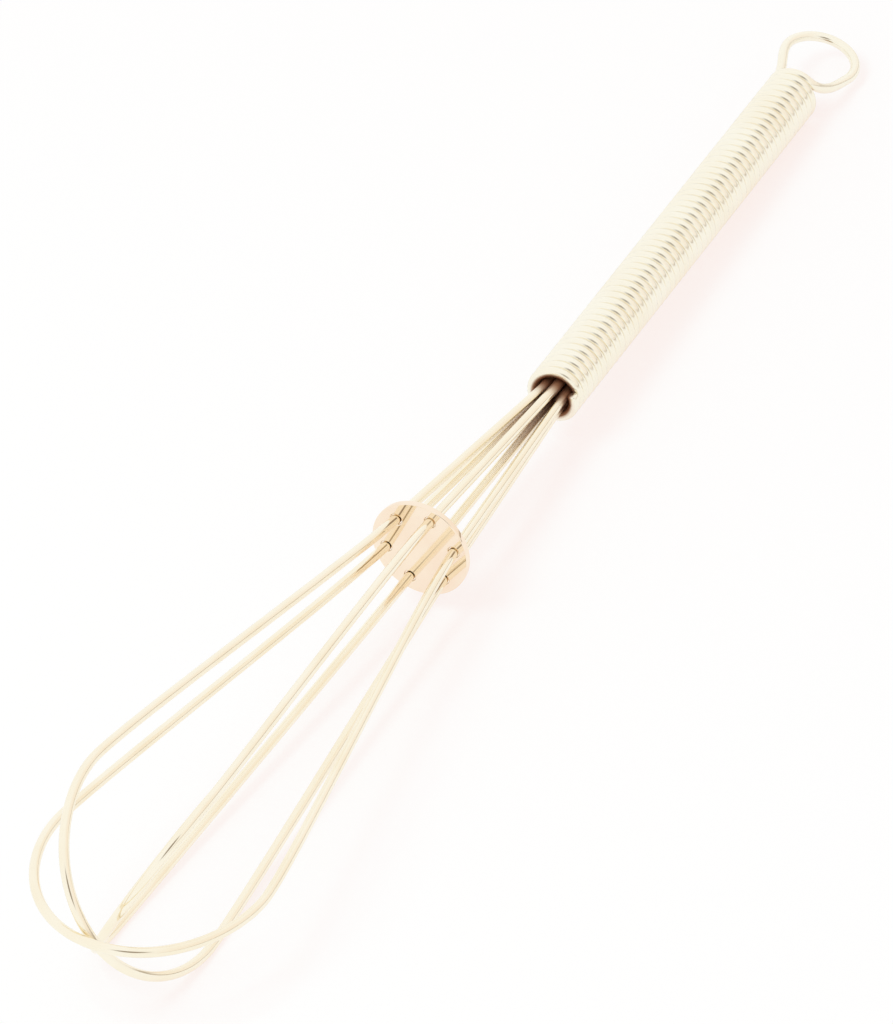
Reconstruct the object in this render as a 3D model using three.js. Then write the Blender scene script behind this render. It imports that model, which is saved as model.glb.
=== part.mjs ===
// Small wire whisk: three wire loops, a spreader disc, and a coil handle whose wire ends in a hanging ring.
// Millimetres, +Z up. The whisk lies on a table along X, with the ring at +X and the head at -X.
import * as THREE from 'three';
import { mergeVertices } from 'three/addons/utils/BufferGeometryUtils.js';

// Wires and the gap kept between pieces that touch
const LOOP_WIRE_DIAMETER = 1.2;
const CORE_WIRE_DIAMETER = 1.0;
const RING_WIRE_DIAMETER = 1.2;
const CLEARANCE = 0.3;

// Coil handle: the solid wire is drawn slimmer than the real one, so that its turns stay apart
const COIL_WIRE_DIAMETER = 0.86;
const COIL_TURN_GAP = 0.46;
const COIL_TURNS = 54;
const COIL_START_ANGLE = THREE.MathUtils.degToRad(135);
const COIL_STEPS_PER_TURN = 8;
const COIL_SIDES = 5;

// The handle leans a little to one side of the head's axis, towards +Y
const HANDLE_LEAN = THREE.MathUtils.degToRad(2.1);

// Hanging ring, a last open turn of the handle's wire
const RING_DIAMETER = 9.1;
const RING_LEG = 3.4;
const RING_ROLL = THREE.MathUtils.degToRad(19);
const RING_ARC_START = THREE.MathUtils.degToRad(75);
const RING_ARC_END = THREE.MathUtils.degToRad(255);

// Pieces inside the handle
const BRAZE_PLUG_LENGTH = 3.0;
const CORE_SETBACK = 4.0;

// Head: neck, spreader disc and balloon, measured along the axis from the handle's mouth
const NECK_LENGTH = 33.5;
const DISC_THICKNESS = 0.8;
const DISC_RIM_WIDTH = 0.8;
const HOLE_CIRCLE_DIAMETER = 9.0;
const HOLE_PATTERN_ROLL = THREE.MathUtils.degToRad(-6.5);
const BALLOON_LENGTH = 80.1;
const BALLOON_DIAMETER = 26.4;
const CAP_LENGTH = 15;
const CAP_FULLNESS = 0.51;
const TIP_FLATNESS = 0.59;
const BELLY_LEAD = 11;
const SHOULDER_LEAD = 6.4;

// How far each loop is bent out of true beyond the disc: turned about the axis, and shifted to one side
const INNER_LOOP_TURN = THREE.MathUtils.degToRad(11.7);
const INNER_LOOP_SHIFT_ACROSS = 1.3;
const INNER_TIP_SETBACK = 2.8;
const MIDDLE_LOOP_TURN = THREE.MathUtils.degToRad(10.7);
const MIDDLE_LOOP_SHIFT_ALONG = 0.4;
const OUTER_LOOP_TURN = THREE.MathUtils.degToRad(17);
const OUTER_LOOP_SHIFT_ALONG = -0.9;
const LOOPS = [
  { name: 'whisk_loop_inner', turn: INNER_LOOP_TURN, across: INNER_LOOP_SHIFT_ACROSS, along: 0 },
  { name: 'whisk_loop_middle', turn: MIDDLE_LOOP_TURN, across: 0, along: MIDDLE_LOOP_SHIFT_ALONG },
  { name: 'whisk_loop_outer', turn: OUTER_LOOP_TURN, across: 0, along: OUTER_LOOP_SHIFT_ALONG },
];

// Counts of facets
const LOOP_SIDES = 8;
const LOOP_STEPS = 104;
const RING_STEPS = 40;
const ROUND_SEGMENTS = 48;
const HOLE_SEGMENTS = 16;

const GOLD = { color: 0xd9b98a, roughness: 0.16, metalness: 1.0 };
const ROSE_GOLD = { color: 0xd6a882, roughness: 0.1, metalness: 1.0 };
const CORE_STEEL = { color: 0xb9b4a8, roughness: 0.35, metalness: 1.0 };
const BRAZE = { color: 0xb08a4e, roughness: 0.5, metalness: 1.0 };

// Sizes that follow from the ones above
const WIRES = 2 * LOOPS.length;
const WIRE_ANGLE = (2 * Math.PI) / WIRES;
const loopRadius = LOOP_WIRE_DIAMETER / 2;
const coilWireRadius = COIL_WIRE_DIAMETER / 2;
const ringRadius = RING_DIAMETER / 2;
const balloonRadius = BALLOON_DIAMETER / 2;
const holeCircleRadius = HOLE_CIRCLE_DIAMETER / 2;
const packRoundCore = (CORE_WIRE_DIAMETER + LOOP_WIRE_DIAMETER) / 2 + CLEARANCE;
const packSideBySide = (LOOP_WIRE_DIAMETER + CLEARANCE) / (2 * Math.sin(WIRE_ANGLE / 2));
const packRadius = Math.max(packRoundCore, packSideBySide);
const boreRadius = packRadius + loopRadius + CLEARANCE;
const coilRadius = (boreRadius + coilWireRadius) / Math.cos(Math.PI / COIL_STEPS_PER_TURN);
const handleRadius = coilRadius + coilWireRadius;
const coilPitch = COIL_WIRE_DIAMETER + COIL_TURN_GAP;
const coilSweep = 2 * Math.PI * COIL_TURNS;
const coilEnd = COIL_START_ANGLE + coilSweep;
const handleLength = coilPitch * COIL_TURNS;
const plugFace = handleLength - BRAZE_PLUG_LENGTH;
const neckSlope = (holeCircleRadius - packRadius) / NECK_LENGTH;
const holeRadius = loopRadius + CLEARANCE + (neckSlope * DISC_THICKNESS) / 2;
const discRadius = holeCircleRadius + holeRadius + DISC_RIM_WIDTH;
const tipStep = LOOP_WIRE_DIAMETER + CLEARANCE;
const shoulderX = -NECK_LENGTH - (BALLOON_LENGTH - CAP_LENGTH);
const ringCentreX = handleLength + RING_LEG + ringRadius;

// Point at a distance along the axis and from it, at an angle from +Y towards +Z
function polar(x, radius, angle) {
  return new THREE.Vector3(x, radius * Math.cos(angle), radius * Math.sin(angle));
}

// The lean of the handle, for a point of a wire that lies inside it
function leaned(point) {
  if (point.x > 0) point.applyAxisAngle(new THREE.Vector3(0, 0, 1), HANDLE_LEAN);
  return point;
}

// Solid tube with closed ends along any curve
function tube(path, radius, sides, steps) {
  const section = new THREE.Shape();
  for (let side = 0; side < sides; side += 1) {
    const angle = (2 * Math.PI * side) / sides;
    const x = radius * Math.cos(angle);
    const y = radius * Math.sin(angle);
    if (side === 0) section.moveTo(x, y);
    else section.lineTo(x, y);
  }
  section.closePath();
  return new THREE.ExtrudeGeometry(section, { extrudePath: path, steps, curveSegments: 1 });
}

// Solid round bar along the axis, between two places
function axialBar(fromX, toX, radius) {
  const bar = new THREE.CylinderGeometry(radius, radius, toX - fromX, ROUND_SEGMENTS);
  bar.rotateZ(-Math.PI / 2);
  bar.translate((fromX + toX) / 2, 0, 0);
  return bar;
}

function namedMesh(name, geometry, look) {
  const mesh = new THREE.Mesh(geometry, new THREE.MeshStandardMaterial(look));
  mesh.name = name;
  return mesh;
}

// Where a loop's tip lies along the axis, one wire and a gap further out from loop to loop
function tipPlace(index) {
  const setback = index === 0 ? INNER_TIP_SETBACK : 0;
  return -NECK_LENGTH - BALLOON_LENGTH - tipStep * (index - 1) + setback;
}

// One side of a loop, 1 or -1, as runs of points from the braze plug out to the tip
function halfLoop(index, side) {
  const { turn, across, along } = LOOPS[index];
  const holeAngle = HOLE_PATTERN_ROLL + (LOOPS.length - 1 - index) * WIRE_ANGLE;
  const planeAngle = holeAngle + turn;
  const shift = polar(0, along, planeAngle).add(polar(0, across, planeAngle + Math.PI / 2));
  const near = (x, radius) => leaned(polar(x, side * radius, holeAngle));
  const far = (x, radius) => polar(x, side * radius, planeAngle).add(shift);
  const tipX = tipPlace(index);
  const inside = near(plugFace - CLEARANCE, packRadius);
  const mouth = near(0, packRadius);
  const disc = near(-NECK_LENGTH, holeCircleRadius);
  const belly = near(-NECK_LENGTH - BELLY_LEAD, holeCircleRadius + neckSlope * BELLY_LEAD);
  const beforeShoulder = far(shoulderX + SHOULDER_LEAD, balloonRadius);
  const shoulder = far(shoulderX, balloonRadius);
  const capStart = far(shoulderX + CAP_FULLNESS * (tipX - shoulderX), balloonRadius);
  const capEnd = far(tipX, TIP_FLATNESS * balloonRadius);
  const tip = far(tipX, 0);
  return [
    [inside, mouth],
    [mouth, disc],
    [disc, belly, beforeShoulder, shoulder],
    [shoulder, capStart, capEnd, tip],
  ];
}

// One wire loop: out along one side of the head, across the tip and back along the other side
function whiskLoop(index) {
  const out = halfLoop(index, 1);
  const back = halfLoop(index, -1).map((run) => run.reverse()).reverse();
  const path = new THREE.CurvePath();
  for (const points of [...out, ...back]) {
    const Curve = points.length === 2 ? THREE.LineCurve3 : THREE.CubicBezierCurve3;
    path.add(new Curve(...points));
  }
  return namedMesh(LOOPS[index].name, tube(path, loopRadius, LOOP_SIDES, LOOP_STEPS), GOLD);
}

// Disc with one hole for each wire, square to the axis
function spreaderDisc() {
  const outline = new THREE.Shape();
  outline.absarc(0, 0, discRadius, 0, 2 * Math.PI, false);
  for (let wire = 0; wire < WIRES; wire += 1) {
    const hole = new THREE.Path();
    const centre = polar(0, holeCircleRadius, HOLE_PATTERN_ROLL + wire * WIRE_ANGLE);
    for (let step = 0; step <= HOLE_SEGMENTS; step += 1) {
      const angle = (-2 * Math.PI * step) / HOLE_SEGMENTS;
      const y = centre.y + holeRadius * Math.cos(angle);
      const z = centre.z + holeRadius * Math.sin(angle);
      if (step === 0) hole.moveTo(y, z);
      else hole.lineTo(y, z);
    }
    outline.holes.push(hole);
  }
  const settings = { depth: DISC_THICKNESS, bevelEnabled: false, curveSegments: ROUND_SEGMENTS };
  const disc = new THREE.ExtrudeGeometry(outline, settings);
  disc.rotateX(Math.PI / 2);
  disc.rotateZ(Math.PI / 2);
  disc.translate(-NECK_LENGTH - DISC_THICKNESS / 2, 0, 0);
  return namedMesh('spreader_disc', disc, ROSE_GOLD);
}

// Direction of the coil's wire at an angle round the axis
function coilTangent(angle) {
  const rise = coilPitch / (2 * Math.PI);
  return new THREE.Vector3(rise, -coilRadius * Math.sin(angle), coilRadius * Math.cos(angle)).normalize();
}

function coilPoint(angle) {
  return polar((coilPitch * (angle - COIL_START_ANGLE)) / (2 * Math.PI), coilRadius, angle);
}

// Places along the coil's wire: the turns, with a straight wire's width at each end
function coilStations() {
  const steps = Math.round((COIL_STEPS_PER_TURN * coilSweep) / (2 * Math.PI));
  const stations = [];
  for (let step = 0; step <= steps; step += 1) {
    const angle = COIL_START_ANGLE + (coilSweep * step) / steps;
    stations.push({ at: coilPoint(angle), along: coilTangent(angle), out: polar(0, 1, angle) });
  }
  const first = stations[0];
  const last = stations[stations.length - 1];
  const lead = first.at.clone().addScaledVector(first.along, -COIL_WIRE_DIAMETER);
  const tail = last.at.clone().addScaledVector(last.along, COIL_WIRE_DIAMETER);
  stations.unshift({ at: lead, along: first.along, out: first.out });
  stations.push({ at: tail, along: last.along, out: last.out });
  return stations;
}

// Ring of points round the wire at one place
function wireSection({ at, along, out }) {
  const across = new THREE.Vector3().crossVectors(along, out).normalize();
  const section = [];
  for (let side = 0; side < COIL_SIDES; side += 1) {
    const angle = (2 * Math.PI * side) / COIL_SIDES;
    const point = at.clone();
    point.addScaledVector(out, coilWireRadius * Math.cos(angle));
    point.addScaledVector(across, coilWireRadius * Math.sin(angle));
    section.push(point);
  }
  return section;
}

// Least distance between points of the coil that lie about a turn apart along the wire
function leastTurnGap(sections) {
  let least = Infinity;
  const near = COIL_STEPS_PER_TURN / 2;
  const far = COIL_STEPS_PER_TURN * 2;
  for (let here = 0; here < sections.length; here += 1) {
    const end = Math.min(sections.length, here + far);
    for (let there = here + near; there < end; there += 1) {
      for (const a of sections[here]) {
        for (const b of sections[there]) least = Math.min(least, a.distanceTo(b));
      }
    }
  }
  return least;
}

// Close-wound handle, one unbroken tube
function handleCoil() {
  const sections = coilStations().map(wireSection);
  const faces = [];
  for (let ring = 0; ring + 1 < sections.length; ring += 1) {
    for (let side = 0; side < COIL_SIDES; side += 1) {
      const next = (side + 1) % COIL_SIDES;
      const a = ring * COIL_SIDES + side;
      const b = ring * COIL_SIDES + next;
      faces.push(a, b, a + COIL_SIDES);
      faces.push(b, b + COIL_SIDES, a + COIL_SIDES);
    }
  }
  const end = (sections.length - 1) * COIL_SIDES;
  for (let side = 1; side + 1 < COIL_SIDES; side += 1) {
    faces.push(0, side + 1, side);
    faces.push(end, end + side, end + side + 1);
  }
  const positions = sections.flat().flatMap((point) => point.toArray());
  const geometry = new THREE.BufferGeometry();
  geometry.setAttribute('position', new THREE.Float32BufferAttribute(positions, 3));
  geometry.setIndex(faces);
  geometry.computeVertexNormals();
  console.log(`least gap between turns of the handle ${leastTurnGap(sections).toFixed(3)} mm`);
  return namedMesh('handle_coil', geometry, GOLD);
}

// Place on the ring's circle, at an angle from the handle's side round by -Y
function ringPoint(angle) {
  const across = -ringRadius * Math.sin(angle);
  return polar(ringCentreX - ringRadius * Math.cos(angle), across, RING_ROLL);
}

function ringTangent(angle) {
  return polar(Math.sin(angle), -Math.cos(angle), RING_ROLL);
}

// The open arc of the ring between its two legs
class RingArc extends THREE.Curve {
  getPoint(share) {
    return ringPoint(THREE.MathUtils.lerp(RING_ARC_START, RING_ARC_END, share));
  }
}

// Smooth leg between two places, leaving and arriving along the given directions
function leg(from, leave, to, arrive) {
  const reach = from.distanceTo(to) / 3;
  const first = from.clone().addScaledVector(leave, reach);
  const second = to.clone().addScaledVector(arrive, -reach);
  return new THREE.CubicBezierCurve3(from, first, second, to);
}

// Hanging ring: the handle's wire leaves the coil on one side, goes round and butts on its other side
function hangingRing() {
  const leave = coilTangent(coilEnd);
  const start = coilPoint(coilEnd).addScaledVector(leave, COIL_WIRE_DIAMETER + CLEARANCE);
  const arcStart = ringPoint(RING_ARC_START);
  const arcEnd = ringPoint(RING_ARC_END);
  const leftTurnX = handleLength - (coilPitch * (COIL_START_ANGLE - RING_ROLL)) / (2 * Math.PI);
  const butt = polar(leftTurnX + coilWireRadius + CLEARANCE, coilRadius, RING_ROLL);
  const home = new THREE.Vector3(-1, 0, 0);
  const straight = butt.clone().addScaledVector(home, -RING_WIRE_DIAMETER);
  const path = new THREE.CurvePath();
  path.add(leg(start, leave, arcStart, ringTangent(RING_ARC_START)));
  path.add(new RingArc());
  path.add(leg(arcEnd, ringTangent(RING_ARC_END), straight, home));
  path.add(new THREE.LineCurve3(straight, butt));
  const ring = tube(path, RING_WIRE_DIAMETER / 2, LOOP_SIDES, RING_STEPS);
  return namedMesh('hanging_ring', ring, GOLD);
}

// Core wire in the middle of the six, from a little inside the mouth to the braze
function coreWire() {
  const bar = axialBar(CORE_SETBACK, plugFace - CLEARANCE, CORE_WIRE_DIAMETER / 2);
  return namedMesh('core_wire', bar, CORE_STEEL);
}

// Braze that fills the far end of the handle and holds the wire ends
function brazePlug() {
  const bar = axialBar(plugFace, handleLength, boreRadius - CLEARANCE);
  return namedMesh('braze_plug', bar, BRAZE);
}

// Height of a loop's wire over the axis at the shoulder, on one side
function shoulderHeight(index, side) {
  const shoulder = halfLoop(index, side)[2][3];
  return shoulder.z;
}

// Angle at which the head's lower wires and the far end of the handle all touch the table
function restTilt() {
  const heights = LOOPS.flatMap((loop, index) => [shoulderHeight(index, 1), shoulderHeight(index, -1)]);
  const headDrop = loopRadius - Math.min(...heights);
  return Math.atan2(headDrop - handleRadius, handleLength * Math.cos(HANDLE_LEAN) - shoulderX);
}

// Joins the corners that neighbouring faces of a mesh share
function mergeCorners(object) {
  if (!object.isMesh) return;
  object.geometry.deleteAttribute('normal');
  object.geometry.deleteAttribute('uv');
  object.geometry = mergeVertices(object.geometry);
  object.geometry.computeVertexNormals();
}

// The whole whisk, laid on the table with its middle over the origin
function whisk() {
  const pieces = new THREE.Group();
  LOOPS.forEach((loop, index) => pieces.add(whiskLoop(index)));
  pieces.add(spreaderDisc());
  const handle = new THREE.Group();
  handle.add(handleCoil(), hangingRing(), coreWire(), brazePlug());
  handle.rotation.z = HANDLE_LEAN;
  pieces.add(handle);
  pieces.traverse(mergeCorners);
  pieces.rotation.y = restTilt();
  const part = new THREE.Group();
  part.add(pieces);
  part.updateMatrixWorld(true);
  const box = new THREE.Box3().setFromObject(part, true);
  const middle = box.getCenter(new THREE.Vector3());
  pieces.position.set(-middle.x, -middle.y, -box.min.z);
  part.updateMatrixWorld(true);
  return part;
}

export default whisk();
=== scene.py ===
"""Small pale gold wire whisk on a white table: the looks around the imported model."""
import math
from collections import namedtuple

import bmesh
import bpy
import numpy as np
from mathutils import Matrix, Vector

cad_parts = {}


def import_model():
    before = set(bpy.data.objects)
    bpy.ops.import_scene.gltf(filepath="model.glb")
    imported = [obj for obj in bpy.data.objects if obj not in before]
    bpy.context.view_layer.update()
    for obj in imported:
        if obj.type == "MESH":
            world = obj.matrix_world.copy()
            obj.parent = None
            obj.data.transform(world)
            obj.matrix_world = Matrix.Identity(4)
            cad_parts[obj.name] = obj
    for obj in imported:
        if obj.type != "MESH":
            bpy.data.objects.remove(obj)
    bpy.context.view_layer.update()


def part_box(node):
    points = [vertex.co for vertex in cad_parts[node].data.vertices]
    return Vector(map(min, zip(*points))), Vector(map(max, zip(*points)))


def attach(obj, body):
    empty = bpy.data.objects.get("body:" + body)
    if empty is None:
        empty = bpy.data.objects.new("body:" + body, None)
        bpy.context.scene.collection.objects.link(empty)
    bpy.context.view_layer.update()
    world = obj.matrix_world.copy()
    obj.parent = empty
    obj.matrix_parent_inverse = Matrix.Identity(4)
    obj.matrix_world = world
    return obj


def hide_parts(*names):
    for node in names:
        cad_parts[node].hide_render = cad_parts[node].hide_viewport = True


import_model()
MM = 0.001
FULL_TURN = 2 * math.pi

# Wires, in millimetres like all sizes of the whisk
LOOP_WIRE = 1.2
CORE_WIRE = 1.0
HANDLE_WIRE = 1.24
CLEARANCE = 0.3

# Rounded edge of a cut wire: its size, and the shares of it that its steps go out and draw in
LOOP_END_EDGE = 0.08
HANDLE_END_EDGE = 0.1
END_STEP_OUT = 0.6
END_STEPS_IN = (0.6, 1.0)

# Coil handle, whose cut end is trimmed to lie where the photograph shows it, and hanging ring
COIL_PITCH = 1.32
COIL_TURNS = 54
COIL_START_ANGLE = math.radians(135)
COIL_TRIM_ANGLE = math.radians(33)
HANDLE_RADIUS = 3.49
HANDLE_LEAN = math.radians(2.1)
RING_DIAMETER = 9.1
RING_LEG = 3.4
RING_ROLL = math.radians(19)
RING_ARC_START = math.radians(75)
RING_ARC_END = math.radians(255)

# Core wire and braze inside the handle
BORE_RADIUS = 2.25
BRAZE_PLUG_LENGTH = 3.0
CORE_SETBACK = 4.0

# Braze from the middle of one face to that of the other: distance from the face, share of the radius
BRAZE_NEAR_FACE = ((0.0, 0.0), (0.0, 0.6), (0.25, 0.93), (0.6, 1.0))
BRAZE_FAR_FACE = ((-0.5, 1.0), (-0.16, 0.97), (-0.3, 0.86), (-0.5, 0.6), (-0.55, 0.3), (-0.5, 0.0))

# Head: neck, spreader disc and balloon
NECK_LENGTH = 33.5
PACK_RADIUS = 1.5
DISC_THICKNESS = 0.8
DISC_RADIUS = 6.24
DISC_EDGE = 0.16
DISC_HOLE_RADIUS = 0.71
HOLE_CIRCLE_RADIUS = 4.5
HOLE_PATTERN_ROLL = math.radians(-6.5)
BALLOON_LENGTH = 80.1
BALLOON_RADIUS = 13.2
CAP_LENGTH = 15.0
CAP_FULLNESS = 0.51
TIP_FLATNESS = 0.59
BELLY_LEAD = 11.0
SHOULDER_LEAD = 6.4
TIP_STEP = LOOP_WIRE + CLEARANCE

# Each loop beyond the disc: turn about the axis, shifts across and along its plane, setback of its tip
Loop = namedtuple("Loop", "node turn across along setback")
LOOPS = (
    Loop("whisk_loop_inner", math.radians(11.7), 1.3, 0.0, 2.8),
    Loop("whisk_loop_middle", math.radians(10.7), 0.0, 0.4, 0.0),
    Loop("whisk_loop_outer", math.radians(17), 0.0, -0.9, 0.0),
)
WIRE_ANGLE = math.pi / len(LOOPS)
BOTH_SIDES = (1, -1)

# Places that follow from the sizes
HANDLE_LENGTH = COIL_PITCH * COIL_TURNS
PLUG_FACE = HANDLE_LENGTH - BRAZE_PLUG_LENGTH
BUNDLE_END = PLUG_FACE - CLEARANCE
COIL_RADIUS = HANDLE_RADIUS - HANDLE_WIRE / 2
COIL_END_ANGLE = COIL_START_ANGLE + FULL_TURN * COIL_TURNS
RING_RADIUS = RING_DIAMETER / 2
RING_CENTRE = HANDLE_LENGTH + RING_LEG + RING_RADIUS
SHOULDER = -NECK_LENGTH - (BALLOON_LENGTH - CAP_LENGTH)
NECK_SLOPE = (HOLE_CIRCLE_RADIUS - PACK_RADIUS) / NECK_LENGTH

# Smoothness of the meshes
LOOP_SIDES = 20
COIL_SIDES = 18
COIL_STEPS_PER_TURN = 36
CURVE_STEPS = 60
DISC_STEPS = 128
HOLE_STEPS = 40
DISC_EDGE_STEPS = 4
BRAZE_SEGMENTS = 48
BRAZE_SUBDIVISIONS = 2
MERGE_DISTANCE = 0.002
FLAT_FACE = 0.9999

# Metals: pale and deep tone, lowest and highest roughness, strength of the fine unevenness
Metal = namedtuple("Metal", "pale deep smooth dull uneven")
METALS = {
    "wire_gold": Metal((0.97, 0.912, 0.765), (0.955, 0.878, 0.70), 0.08, 0.14, 0.04),
    "coil_gold": Metal((0.967, 0.93, 0.805), (0.957, 0.905, 0.76), 0.15, 0.24, 0.04),
    "disc_gold": Metal((0.975, 0.845, 0.69), (0.955, 0.795, 0.63), 0.04, 0.06, 0.0),
    "core_steel": Metal((0.56, 0.54, 0.50), (0.42, 0.40, 0.36), 0.3, 0.42, 0.08),
    "braze": Metal((0.62, 0.45, 0.22), (0.40, 0.27, 0.12), 0.4, 0.6, 0.08),
}
TONE_SCALE = 160.0
TONE_DETAIL = 3.0
DEEP_TONE_AT = 0.3
PALE_TONE_AT = 0.62
LINES_SCALE = 1.0
LINES_DETAIL = 2.0
LINES_STRETCH = (26.0, 0.35, 1.0)
NOISE_LOW = 0.3
NOISE_HIGH = 0.7
UNEVEN_DEPTH = 0.02 * MM

# Names of the map that the drawing lines follow, and of the value that says how much painted shade a place
# gets
MAP_NAME = "round_and_along"
PAINTED_SHADE_NAME = "painted_shade"

# Painted shade, dark and dull, in and near the handle, and where it sets in: at the mouth, on the inner
# sides in the neck and across the coil's wire where it faces the bore
PAINTED_SHADE_COLOUR = (0.42, 0.21, 0.115)
PAINTED_SHADE_ROUGHNESS = 0.65
MOUTH_SHADE = (-2.6, 0.4)
NECK_SHADE = (-14.0, -1.0)
NECK_SHADE_SIDE = (0.1, 0.5)
NECK_SHADE_LEVEL = 0.7
BORE_SHADE = (COIL_RADIUS - 0.3, COIL_RADIUS + 0.1)

# Camera, as it stood for the photograph, in millimetres
CAMERA_AIM = (-2.488, 6.380, 1.830)
CAMERA_DISTANCE = 1236.0
CAMERA_AZIMUTH = math.radians(-57.60)
CAMERA_ELEVATION = math.radians(35.765)
CAMERA_ROLL = math.radians(-8.926)
CAMERA_LENS = 369.27
CAMERA_SENSOR = 36.0
CAMERA_CLIP_START = 10.0

# White table, in metres, and what the camera and the mirrors see of it
FLOOR_REACH = 1.5
FLOOR_ROUGHNESS = 0.7
FLOOR_WHITE = (0.97, 0.945, 0.925, 1)
FLOOR_GLOW = (0.90, 0.695, 0.665, 1)
FLOOR_SHADE = (0.10, 0.305, 0.335, 1)

# Lamp, in metres and watts
LAMP_PLACE = (-0.40, 0.26, 0.84)
LAMP_SIZE = 0.42
LAMP_POWER = 2.5

# White room, its rosy far side with a dark line at the horizon, and its dark opening at the camera
STUDIO_WHITE = (1.0, 1.0, 1.0)
FAR_SIDE = (0.975, 0.91, 0.85)
FAR_SIDE_DIRECTION = (0.45, -0.88, -0.13)
FAR_SIDE_START = 0.1
FAR_SIDE_FULL = 0.95
HORIZON_DARK = (0.46, 0.38, 0.29)
HORIZON_LOW = 0.03
HORIZON_HIGH = 0.13
OPENING_DARK = (0.32, 0.26, 0.20)
OPENING_DIRECTION = (-0.685, -0.435, 0.584)
OPENING_INNER = math.radians(6)
OPENING_OUTER = math.radians(20)
AMBIENT_LEVEL = 0.8
SEEN_LEVEL = 1.0
UPWARDS = (0, 0, 1)


def polar(along, radius, angle):
    """Point at a distance along the axis and from it, at an angle from +Y towards +Z."""
    return np.array((along, radius * math.cos(angle), radius * math.sin(angle)))


def unit(vector):
    return vector / np.linalg.norm(vector)


def smooth_step(values, low, high):
    """Rises smoothly from zero to one between two values."""
    share = np.clip((values - low) / (high - low), 0, 1)
    return share * share * (3 - 2 * share)


def bezier(points, steps):
    """Points along a smooth curve with two or four control points, without its last one."""
    share = np.arange(steps)[:, None] / steps
    if len(points) == 2:
        return points[0] + (points[1] - points[0]) * share
    a, b, c, d = points
    rest = 1 - share
    return a * rest**3 + 3 * b * rest**2 * share + 3 * c * rest * share**2 + d * share**3


def loop_angles(index):
    """Angles round the axis of a loop's holes in the disc, and of its plane beyond the disc."""
    hole = HOLE_PATTERN_ROLL + (len(LOOPS) - 1 - index) * WIRE_ANGLE
    return hole, hole + LOOPS[index].turn


def far_point(index, side, along, radius):
    """Place on a loop's plane beyond the disc, on one side of it, 1 or -1."""
    loop = LOOPS[index]
    plane = loop_angles(index)[1]
    shift = polar(0, loop.along, plane) + polar(0, loop.across, plane + math.pi / 2)
    return polar(along, side * radius, plane) + shift


def rest_tilt():
    """Angle at which the head's lower wires and the far end of the handle touch the table."""
    heights = []
    for index in range(len(LOOPS)):
        heights += [far_point(index, side, SHOULDER, BALLOON_RADIUS)[2] for side in BOTH_SIDES]
    head_drop = LOOP_WIRE / 2 - min(heights)
    return math.atan2(head_drop - HANDLE_RADIUS, HANDLE_LENGTH * math.cos(HANDLE_LEAN) - SHOULDER)


# Whisk's own axes, with the mouth of the handle at zero, to the table's
TILT = np.array(Matrix.Rotation(rest_tilt(), 3, "Y"))
LEAN = np.array(Matrix.Rotation(HANDLE_LEAN, 3, "Z"))


def mouth_place():
    """The handle's mouth on the table, from the core wire that lies on the same axis."""
    low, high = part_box("core_wire")
    middle = (np.array(low) + np.array(high)) / 2 / MM
    along = (CORE_SETBACK + BUNDLE_END) / 2
    return middle - TILT @ LEAN @ np.array((along, 0.0, 0.0))


MOUTH = mouth_place()


def placed(points):
    """Points in the whisk's own millimetres, turned and moved to the table, in metres."""
    return (np.asarray(points, float) @ TILT.T + MOUTH) * MM


def leaned(points):
    """Points of the bundle, of which those inside the handle lean with it to one side of the head."""
    points = np.asarray(points, float)
    inside = points[:, :1] > 0
    return np.where(inside, points @ LEAN.T, points)


def half_loop(index, side):
    """One side of a loop, from the braze out to the tip, as curves of control points."""
    hole = loop_angles(index)[0]
    tip = -NECK_LENGTH - BALLOON_LENGTH - TIP_STEP * (index - 1) + LOOPS[index].setback
    belly_radius = HOLE_CIRCLE_RADIUS + NECK_SLOPE * BELLY_LEAD
    inside = polar(BUNDLE_END, side * PACK_RADIUS, hole)
    mouth = polar(0, side * PACK_RADIUS, hole)
    disc = polar(-NECK_LENGTH, side * HOLE_CIRCLE_RADIUS, hole)
    belly = polar(-NECK_LENGTH - BELLY_LEAD, side * belly_radius, hole)
    before_shoulder = far_point(index, side, SHOULDER + SHOULDER_LEAD, BALLOON_RADIUS)
    shoulder = far_point(index, side, SHOULDER, BALLOON_RADIUS)
    cap_start = far_point(index, side, SHOULDER + CAP_FULLNESS * (tip - SHOULDER), BALLOON_RADIUS)
    cap_end = far_point(index, side, tip, TIP_FLATNESS * BALLOON_RADIUS)
    crown = far_point(index, side, tip, 0)
    return [
        (inside, mouth),
        (mouth, disc),
        (disc, belly, before_shoulder, shoulder),
        (shoulder, cap_start, cap_end, crown),
    ]


def loop_path(index):
    """The whole of one loop: out on one side, across the tip and back on the other."""
    out, back = [half_loop(index, side) for side in BOTH_SIDES]
    crown = out[-1][-1]
    out_points = np.vstack([bezier(curve, CURVE_STEPS) for curve in out])
    back_points = np.vstack([bezier(curve, CURVE_STEPS) for curve in back])
    return leaned(np.vstack((out_points, crown, back_points[::-1])))


def coil_point(angle):
    """Place on the coil's helix, which starts at the mouth."""
    return polar(COIL_PITCH * (angle - COIL_START_ANGLE) / FULL_TURN, COIL_RADIUS, angle)


def coil_tangent(angle):
    rise = COIL_PITCH / FULL_TURN
    return unit(np.array((rise, -COIL_RADIUS * math.sin(angle), COIL_RADIUS * math.cos(angle))))


def coil_turns():
    """The coil's turns, from its cut end at the mouth to where the ring leaves it."""
    first = COIL_START_ANGLE + COIL_TRIM_ANGLE
    count = int(COIL_STEPS_PER_TURN * (COIL_END_ANGLE - first) / FULL_TURN)
    return [coil_point(angle) for angle in np.linspace(first, COIL_END_ANGLE, count, endpoint=False)]


def ring_point(angle):
    """Place on the ring's circle, at an angle from the handle's side round by -Y."""
    return polar(RING_CENTRE - RING_RADIUS * math.cos(angle), -RING_RADIUS * math.sin(angle), RING_ROLL)


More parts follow.
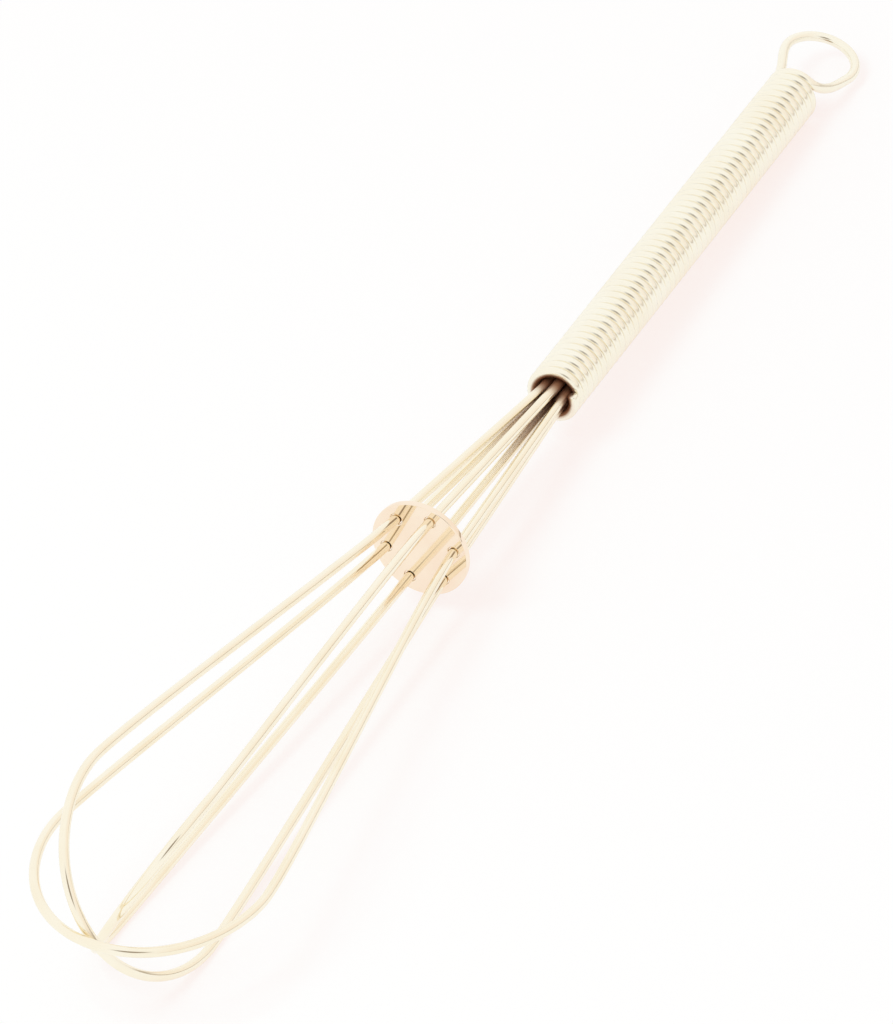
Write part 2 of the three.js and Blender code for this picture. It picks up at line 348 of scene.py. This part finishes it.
def ring_tangent(angle):
    return polar(math.sin(angle), -math.cos(angle), RING_ROLL)


def leg(start, leave, end, arrive):
    """Smooth run between two places, with the directions that it leaves and arrives in."""
    reach = np.linalg.norm(end - start) / 3
    return bezier((start, start + leave * reach, end - arrive * reach, end), CURVE_STEPS // 2)


def ring_end():
    """The ring's last straight bit, which butts on the coil's last turn."""
    last_turn = HANDLE_LENGTH - COIL_PITCH * (COIL_START_ANGLE - RING_ROLL) / FULL_TURN
    butt = polar(last_turn + HANDLE_WIRE / 2, COIL_RADIUS, RING_ROLL)
    straight = butt + np.array((HANDLE_WIRE, 0.0, 0.0))
    return [straight, (straight + butt) / 2, butt]


def handle_path():
    """The handle's one wire: its turns, then the open ring that butts back on the coil."""
    arc_angles = np.linspace(RING_ARC_START, RING_ARC_END, 2 * CURVE_STEPS, endpoint=False)
    arc = [ring_point(angle) for angle in arc_angles]
    arc_end = ring_point(RING_ARC_END)
    end = ring_end()
    home = unit(end[-1] - end[0])
    leave = coil_tangent(COIL_END_ANGLE)
    out_leg = leg(coil_point(COIL_END_ANGLE), leave, arc[0], ring_tangent(RING_ARC_START))
    back_leg = leg(arc_end, ring_tangent(RING_ARC_END), end[0], home)
    return np.vstack((coil_turns(), out_leg, arc, back_leg, end)) @ LEAN.T


def core_path():
    """The straight core wire, from a little inside the mouth to the braze."""
    return np.linspace(polar(CORE_SETBACK, 0, 0), polar(BUNDLE_END, 0, 0), CURVE_STEPS) @ LEAN.T


def painted_shade_along(points):
    """How much painted shade a wire of the bundle gets: all over inside the mouth, on its inner side a bit
    further out in the neck.
    """
    at_mouth = smooth_step(points[:, 0], *MOUTH_SHADE)
    middle = PACK_RADIUS - NECK_SLOPE * points[:, 0]
    inward = middle - np.hypot(points[:, 1], points[:, 2])
    in_neck = smooth_step(inward, *NECK_SHADE_SIDE) * smooth_step(points[:, 0], *NECK_SHADE)
    return np.maximum(at_mouth, NECK_SHADE_LEVEL * in_neck)


def painted_shade_round(points):
    """How far a place on the coil faces the bore rather than the outside, which sets the painted shade in
    the bore.
    """
    straight = points @ LEAN
    faces_bore = 1 - smooth_step(np.hypot(straight[:, 1], straight[:, 2]), *BORE_SHADE)
    return faces_bore * (straight[:, 0] < HANDLE_LENGTH)


def add_object(name, data):
    made = bpy.data.objects.new(name, data)
    bpy.context.scene.collection.objects.link(made)
    return made


def end_stations(path, radius, edge):
    """Adds a slightly rounded edge at both ends of a path, with a radius for each station."""
    first = unit(path[0] - path[1])
    last = unit(path[-1] - path[-2])
    step = edge * END_STEP_OUT
    radii = np.full(len(path), radius)
    for share in END_STEPS_IN:
        narrow = radius - edge * share
        path = np.vstack((path[0] + first * step, path, path[-1] + last * step))
        radii = np.concatenate(([narrow], radii, [narrow]))
    return path, radii


def frames_along(path):
    """Directions along a path, and a side direction that turns with it as little as it can."""
    along = np.gradient(path, axis=0)
    along /= np.linalg.norm(along, axis=1)[:, None]
    helper = np.eye(3)[np.argmin(np.abs(along[0]))]
    side = unit(np.cross(along[0], helper))
    sides = []
    for direction in along:
        side = unit(side - direction * np.dot(side, direction))
        sides.append(side)
    return along, np.array(sides)


def tube_points(stations, radii, sides):
    """Circles of points round the stations of a path."""
    along, side = frames_along(stations)
    other = np.cross(along, side)
    angles = FULL_TURN * np.arange(sides) / sides
    across = np.cos(angles)[None, :, None] * side[:, None]
    up = np.sin(angles)[None, :, None] * other[:, None]
    circles = stations[:, None] + (across + up) * radii[:, None, None]
    return circles.reshape(-1, 3)


def tube_faces(count, sides):
    """Faces between a number of circles of points, and one on each end."""
    faces = []
    for row in range(0, (count - 1) * sides, sides):
        for column in range(sides):
            after = (column + 1) % sides
            faces.append((row + column, row + after, row + sides + after, row + sides + column))
    last = (count - 1) * sides
    faces.append(tuple(reversed(range(sides))))
    faces.append(tuple(range(last, last + sides)))
    return faces


def map_wire(mesh, stations, sides):
    """A map of the share round the wire and the millimetres along it."""
    steps = np.linalg.norm(np.diff(stations, axis=0), axis=1)
    length = np.concatenate(([0], np.cumsum(steps)))
    layer = mesh.uv_layers.new(name=MAP_NAME)
    for corner in mesh.loops:
        row, column = divmod(corner.vertex_index, sides)
        layer.data[corner.index].uv = (column / sides, length[row])


def map_across(mesh):
    """A map of the places across the axis, in millimetres, for a piece that isn't drawn wire."""
    while mesh.uv_layers:
        mesh.uv_layers.remove(mesh.uv_layers[0])
    layer = mesh.uv_layers.new(name=MAP_NAME)
    for corner in mesh.loops:
        place = mesh.vertices[corner.vertex_index].co / MM
        layer.data[corner.index].uv = (place.y, place.z)


def swept_wire(name, path, diameter, sides, edge, painted_shade):
    """Round wire along a path, with closed, slightly rounded ends, its map and its painted shade."""
    stations, radii = end_stations(path, diameter / 2, edge)
    points = tube_points(stations, radii, sides)
    mesh = bpy.data.meshes.new(name)
    mesh.from_pydata(placed(points).tolist(), [], tube_faces(len(stations), sides))
    map_wire(mesh, stations, sides)
    # Painted shade: how dark each point of the wire is drawn
    dark = mesh.attributes.new(PAINTED_SHADE_NAME, "FLOAT", "POINT")
    dark.data.foreach_set("value", painted_shade(points))
    mesh.shade_smooth()
    mesh.validate()
    return add_object(name, mesh)


def disc_circles():
    """Rim and holes of the disc: middle across and up, radius and number of steps."""
    circles = [(0.0, 0.0, DISC_RADIUS, DISC_STEPS)]
    for wire in range(2 * len(LOOPS)):
        centre = polar(0, HOLE_CIRCLE_RADIUS, HOLE_PATTERN_ROLL + wire * WIRE_ANGLE)
        circles.append((centre[1], centre[2], DISC_HOLE_RADIUS, HOLE_STEPS))
    return circles


def disc_outline():
    """Filled curve of the disc, its edges rounded all round."""
    curve = bpy.data.curves.new("disc_outline", "CURVE")
    curve.dimensions = "2D"
    curve.fill_mode = "BOTH"
    curve.extrude = DISC_THICKNESS / 2 - DISC_EDGE
    curve.bevel_depth = DISC_EDGE
    curve.bevel_resolution = DISC_EDGE_STEPS
    curve.offset = -DISC_EDGE
    for across, up, radius, steps in disc_circles():
        spline = curve.splines.new("POLY")
        spline.points.add(steps - 1)
        spline.use_cyclic_u = True
        for step, point in enumerate(spline.points):
            angle = FULL_TURN * step / steps
            point.co = (across + radius * math.cos(angle), up + radius * math.sin(angle), 0, 1)
    return curve


def disc_mesh():
    """The disc's curve as a mesh, still flat at zero."""
    curve = disc_outline()
    outline = add_object("disc_outline", curve)
    bpy.context.view_layer.update()
    graph = bpy.context.evaluated_depsgraph_get()
    mesh = bpy.data.meshes.new_from_object(outline.evaluated_get(graph))
    bpy.data.objects.remove(outline)
    bpy.data.curves.remove(curve)
    return mesh


def close_up(mesh):
    """Joins the double points that the curve leaves, and turns all faces outwards."""
    edit = bmesh.new()
    edit.from_mesh(mesh)
    bmesh.ops.remove_doubles(edit, verts=edit.verts, dist=MERGE_DISTANCE * MM)
    bmesh.ops.recalc_face_normals(edit, faces=edit.faces)
    edit.to_mesh(mesh)
    edit.free()


def spreader_disc():
    """Plate with a hole for each wire: flat faces that mirror straight, and smooth rounded edges."""
    mesh = disc_mesh()
    mesh.name = "disc"
    for vertex in mesh.vertices:
        across, up, thick = vertex.co
        vertex.co = placed((-NECK_LENGTH + thick, across, up)).tolist()
    close_up(mesh)
    axis = Vector(TILT @ np.array((1.0, 0.0, 0.0)))
    for polygon in mesh.polygons:
        polygon.use_smooth = abs(polygon.normal.dot(axis)) < FLAT_FACE
    map_across(mesh)
    return add_object("disc", mesh)


def braze_profile():
    """Distances along the handle and from its axis, from one face of the braze to the other."""
    radius = BORE_RADIUS - CLEARANCE / 2
    profile = [(PLUG_FACE + along, radius * share) for along, share in BRAZE_NEAR_FACE]
    profile += [(HANDLE_LENGTH + along, radius * share) for along, share in BRAZE_FAR_FACE]
    return profile


def turned_mesh(name, profile, segments):
    """Solid of a profile turned round the handle's axis, which starts and ends on that axis."""
    edit = bmesh.new()
    rows = []
    for along, out in profile:
        count = 1 if out == 0.0 else segments
        angles = [FULL_TURN * step / segments for step in range(count)]
        rows.append([edit.verts.new(placed(LEAN @ polar(along, out, angle))) for angle in angles])
    for lower, upper in zip(rows, rows[1:]):
        for step in range(segments):
            after = (step + 1) % segments
            corners = [lower[step % len(lower)], lower[after % len(lower)]]
            corners += [upper[after % len(upper)], upper[step % len(upper)]]
            edit.faces.new(list(dict.fromkeys(corners)))
    bmesh.ops.recalc_face_normals(edit, faces=edit.faces)
    mesh = bpy.data.meshes.new(name)
    edit.to_mesh(mesh)
    edit.free()
    return mesh


def braze_plug():
    """Braze in the far end of the handle, drawn up round its rim as it set."""
    mesh = turned_mesh("braze", braze_profile(), BRAZE_SEGMENTS)
    mesh.shade_smooth()
    map_across(mesh)
    piece = add_object("braze", mesh)
    smooth = piece.modifiers.new("rounded", "SUBSURF")
    smooth.levels = BRAZE_SUBDIVISIONS
    smooth.render_levels = BRAZE_SUBDIVISIONS
    return piece


def node(tree, kind, **values):
    made = tree.nodes.new(kind)
    for name, value in values.items():
        setattr(made, name, value)
    return made


def new_material(name):
    material = bpy.data.materials.new(name)
    material.use_nodes = True
    tree = material.node_tree
    return material, tree, tree.nodes["Principled BSDF"]


def noise(tree, coordinates, scale, detail, stretch=(1, 1, 1)):
    """Noise in an object's own space or along its wire, stretched where asked."""
    mapping = node(tree, "ShaderNodeMapping")
    mapping.inputs["Scale"].default_value = stretch
    made = node(tree, "ShaderNodeTexNoise")
    made.inputs["Scale"].default_value = scale
    made.inputs["Detail"].default_value = detail
    tree.links.new(coordinates, mapping.inputs["Vector"])
    tree.links.new(mapping.outputs["Vector"], made.inputs["Vector"])
    return made.outputs["Fac"]


def ramp(tree, factor, stops):
    """Goes from one colour to another between two places."""
    made = node(tree, "ShaderNodeValToRGB")
    for element, (place, colour) in zip(made.color_ramp.elements, stops):
        element.position = place
        element.color = (*colour, 1)
    tree.links.new(factor, made.inputs["Fac"])
    return made.outputs["Color"]


def spread(tree, factor, low, high):
    """Turns a noise around its middle into a range of values."""
    made = node(tree, "ShaderNodeMapRange")
    made.inputs["From Min"].default_value = NOISE_LOW
    made.inputs["From Max"].default_value = NOISE_HIGH
    made.inputs["To Min"].default_value = low
    made.inputs["To Max"].default_value = high
    tree.links.new(factor, made.inputs["Value"])
    return made.outputs["Result"]


def mix(tree, kind, factor, first, second):
    """Goes from what is linked to a set colour or value as the factor rises."""
    made = node(tree, "ShaderNodeMix", data_type=kind)
    made.inputs["B"].default_value = second
    tree.links.new(factor, made.inputs["Factor"])
    tree.links.new(first, made.inputs["A"])
    return made.outputs["Result"]


def bump(tree, shader, height, strength):
    made = node(tree, "ShaderNodeBump")
    made.inputs["Strength"].default_value = strength
    made.inputs["Distance"].default_value = UNEVEN_DEPTH
    tree.links.new(height, made.inputs["Height"])
    tree.links.new(made.outputs["Normal"], shader.inputs["Normal"])


def apply_painted_shade(tree, colour, roughness, shader):
    """Painted shade: darkens and dulls the metal by each point's shade value, in the bore, inside the mouth
    and on the neck's inner sides.
    """
    painted_shade = node(tree, "ShaderNodeAttribute", attribute_name=PAINTED_SHADE_NAME).outputs["Fac"]
    tint = mix(tree, "RGBA", painted_shade, colour, (*PAINTED_SHADE_COLOUR, 1))
    dull = mix(tree, "FLOAT", painted_shade, roughness, PAINTED_SHADE_ROUGHNESS)
    tree.links.new(tint, shader.inputs["Base Color"])
    tree.links.new(dull, shader.inputs["Roughness"])


def polished_metal(name, metal):
    """Metal with slow drifts of tone, faint drawing lines along the wire and a fine unevenness."""
    material, tree, shader = new_material(name)
    coordinates = node(tree, "ShaderNodeTexCoord")
    tone = noise(tree, coordinates.outputs["Object"], TONE_SCALE, TONE_DETAIL)
    lines = noise(tree, coordinates.outputs["UV"], LINES_SCALE, LINES_DETAIL, LINES_STRETCH)
    colour = ramp(tree, tone, ((DEEP_TONE_AT, metal.deep), (PALE_TONE_AT, metal.pale)))
    # Painted shade from each wire's shade value darkens this colour and dulls it
    apply_painted_shade(tree, colour, spread(tree, lines, metal.smooth, metal.dull), shader)
    bump(tree, shader, lines, metal.uneven)
    shader.inputs["Metallic"].default_value = 1.0
    return material


MATERIALS = {name: polished_metal(name, metal) for name, metal in METALS.items()}


def settle(piece, slot, *nodes):
    """Gives a piece its material and slot, and lets it ride on the whisk in place of its solids."""
    piece.data.materials.clear()
    piece.data.materials.append(MATERIALS[slot])
    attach(piece, "root")
    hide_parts(*nodes)


def head():
    """Three crossed loops, and the disc that spreads their wires."""
    for index, loop in enumerate(LOOPS):
        name = loop.node.replace("whisk_", "") + "_wire"
        wire = swept_wire(name, loop_path(index), LOOP_WIRE, LOOP_SIDES, LOOP_END_EDGE, painted_shade_along)
        settle(wire, "wire_gold", loop.node)
    settle(spreader_disc(), "disc_gold", "spreader_disc")


def handle():
    """The coil with its ring in one wire, and the core wire and the braze inside it."""
    coil = swept_wire("handle_wire", handle_path(), HANDLE_WIRE, COIL_SIDES, HANDLE_END_EDGE, painted_shade_round)
    settle(coil, "coil_gold", "handle_coil", "hanging_ring")
    core = swept_wire("core", core_path(), CORE_WIRE, LOOP_SIDES, LOOP_END_EDGE, painted_shade_along)
    settle(core, "core_steel", "core_wire")
    settle(braze_plug(), "braze", "braze_plug")


def camera_axes():
    """Right, up and back of the camera, from its azimuth, elevation and roll."""
    flat = math.cos(CAMERA_ELEVATION)
    back_x = math.sin(CAMERA_AZIMUTH) * flat
    back_y = -math.cos(CAMERA_AZIMUTH) * flat
    back = Vector((back_x, back_y, math.sin(CAMERA_ELEVATION)))
    level = Vector((math.cos(CAMERA_AZIMUTH), math.sin(CAMERA_AZIMUTH), 0))
    rise = back.cross(level)
    right = level * math.cos(CAMERA_ROLL) + rise * math.sin(CAMERA_ROLL)
    return right, back.cross(right), back


def camera():
    data = bpy.data.cameras.new("camera")
    data.lens = CAMERA_LENS
    data.sensor_width = CAMERA_SENSOR
    data.clip_start = CAMERA_CLIP_START * MM
    made = add_object("camera", data)
    right, up, back = camera_axes()
    made.matrix_world = Matrix((right, up, back)).transposed().to_4x4()
    made.location = Vector(CAMERA_AIM) * MM + back * CAMERA_DISTANCE * MM
    bpy.context.scene.camera = made


def seen_rays(tree):
    """One for rays from the camera, mirrored or refracted on their way, and zero for other light."""
    path = node(tree, "ShaderNodeLightPath")
    seen = path.outputs["Is Camera Ray"]
    for kind in ("Is Glossy Ray", "Is Transmission Ray"):
        either = node(tree, "ShaderNodeMath", operation="MAXIMUM")
        tree.links.new(seen, either.inputs[0])
        tree.links.new(path.outputs[kind], either.inputs[1])
        seen = either.outputs[0]
    return seen


def floor_material():
    """White: as seen, mirrored too, most of it is its own glow, so that the shadow stays faint and warm."""
    material, tree, shader = new_material("floor_white")
    shader.inputs["Base Color"].default_value = FLOOR_WHITE
    shader.inputs["Roughness"].default_value = FLOOR_ROUGHNESS
    glow = node(tree, "ShaderNodeEmission")
    glow.inputs["Color"].default_value = FLOOR_GLOW
    shade = node(tree, "ShaderNodeBsdfDiffuse")
    shade.inputs["Color"].default_value = FLOOR_SHADE
    seen = node(tree, "ShaderNodeAddShader")
    mixed = node(tree, "ShaderNodeMixShader")
    tree.links.new(glow.outputs["Emission"], seen.inputs[0])
    tree.links.new(shade.outputs["BSDF"], seen.inputs[1])
    tree.links.new(seen_rays(tree), mixed.inputs["Fac"])
    tree.links.new(shader.outputs["BSDF"], mixed.inputs[1])
    tree.links.new(seen.outputs["Shader"], mixed.inputs[2])
    tree.links.new(mixed.outputs["Shader"], tree.nodes["Material Output"].inputs["Surface"])
    return material


def floor():
    mesh = bpy.data.meshes.new("floor")
    reach = FLOOR_REACH
    corners = [(-reach, -reach, 0), (reach, -reach, 0), (reach, reach, 0), (-reach, reach, 0)]
    mesh.from_pydata(corners, [], [(0, 1, 2, 3)])
    mesh.materials.append(floor_material())
    add_object("floor", mesh)


def lamp():
    """Soft square lamp aimed at the origin, which the metal doesn't mirror."""
    data = bpy.data.lights.new("key", "AREA")
    data.shape = "SQUARE"
    data.size = LAMP_SIZE
    data.energy = LAMP_POWER
    made = add_object("key", data)
    made.location = LAMP_PLACE
    made.rotation_euler = (-Vector(LAMP_PLACE)).to_track_quat("-Z", "Y").to_euler()
    made.visible_glossy = False


def towards(tree, direction, start, full):
    """Rises from zero to one as a direction of the studio turns to the given one."""
    place = node(tree, "ShaderNodeTexCoord")
    turn = node(tree, "ShaderNodeVectorMath", operation="DOT_PRODUCT")
    turn.inputs[1].default_value = Vector(direction).normalized()
    near = node(tree, "ShaderNodeMapRange", interpolation_type="SMOOTHSTEP")
    near.inputs["From Min"].default_value = start
    near.inputs["From Max"].default_value = full
    tree.links.new(place.outputs["Generated"], turn.inputs[0])
    tree.links.new(turn.outputs["Value"], near.inputs["Value"])
    return near.outputs["Result"]


def room_colour(tree):
    """White, rosy on the far side with a dark line at its horizon, and dark where the camera stands."""
    far_side = towards(tree, FAR_SIDE_DIRECTION, FAR_SIDE_START, FAR_SIDE_FULL)
    opening = towards(tree, OPENING_DIRECTION, math.cos(OPENING_OUTER), math.cos(OPENING_INNER))
    low = towards(tree, UPWARDS, HORIZON_HIGH, HORIZON_LOW)
    walls = ramp(tree, far_side, ((0.0, STUDIO_WHITE), (1.0, FAR_SIDE)))
    horizon = node(tree, "ShaderNodeMath", operation="MULTIPLY")
    tree.links.new(far_side, horizon.inputs[0])
    tree.links.new(low, horizon.inputs[1])
    banded = mix(tree, "RGBA", horizon.outputs[0], walls, (*HORIZON_DARK, 1))
    return mix(tree, "RGBA", opening, banded, (*OPENING_DARK, 1))


def world():
    """The room, at full level where it is seen and a little lower as light on the table."""
    made = bpy.data.worlds.new("studio")
    bpy.context.scene.world = made
    made.use_nodes = True
    tree = made.node_tree
    background = tree.nodes["Background"]
    level = node(tree, "ShaderNodeMapRange")
    level.inputs["To Min"].default_value = AMBIENT_LEVEL
    level.inputs["To Max"].default_value = SEEN_LEVEL
    tree.links.new(seen_rays(tree), level.inputs["Value"])
    tree.links.new(room_colour(tree), background.inputs["Color"])
    tree.links.new(level.outputs["Result"], background.inputs["Strength"])


head()
handle()
camera()
floor()
world()
lamp()
bpy.context.scene.view_settings.view_transform = "Standard"
